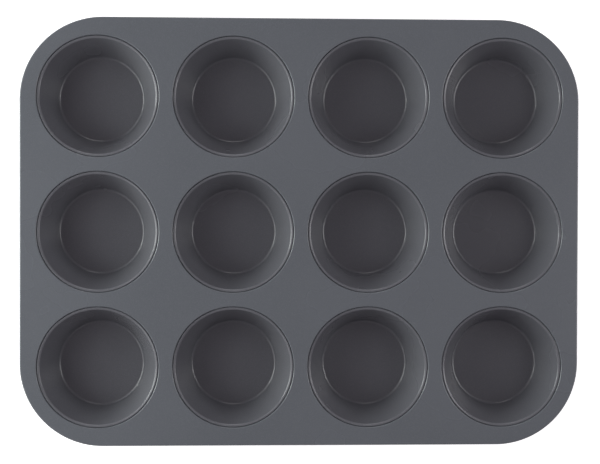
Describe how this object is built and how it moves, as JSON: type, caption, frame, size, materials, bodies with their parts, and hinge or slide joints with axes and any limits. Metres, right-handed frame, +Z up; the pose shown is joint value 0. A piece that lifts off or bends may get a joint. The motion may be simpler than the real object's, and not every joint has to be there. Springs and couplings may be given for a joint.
{
  "type": "muffin tin",
  "caption": "Rectangular muffin tin: round tapered cups with flat floors, seamed into a coated steel deck whose rounded rim is curled over a wire.",
  "frame": {"origin": "centre of the underside, on the plane of the cup floors' undersides, which is the plane that the tin stands on", "axes": "+X along the tin's longer side, +Y along its shorter side towards the back row, +Z up out of the cups"},
  "size_m": [0.352, 0.269, 0.0295],
  "materials": {
    "deck_coating": "matt dark grey non-stick coating",
    "cup_coating": "matt dark grey non-stick coating",
    "wire_steel": "plain drawn wire"
  },
  "bodies": {
    "root": {"deck_sheet": "deck_coating", "rim_wire": "wire_steel", "cup_row1_col1": "cup_coating", "cup_row1_col2": "cup_coating", "cup_row1_col3": "cup_coating", "cup_row1_col4": "cup_coating", "cup_row2_col1": "cup_coating", "cup_row2_col2": "cup_coating", "cup_row2_col3": "cup_coating", "cup_row2_col4": "cup_coating", "cup_row3_col1": "cup_coating", "cup_row3_col2": "cup_coating", "cup_row3_col3": "cup_coating", "cup_row3_col4": "cup_coating"}
  },
  "joints": []
}
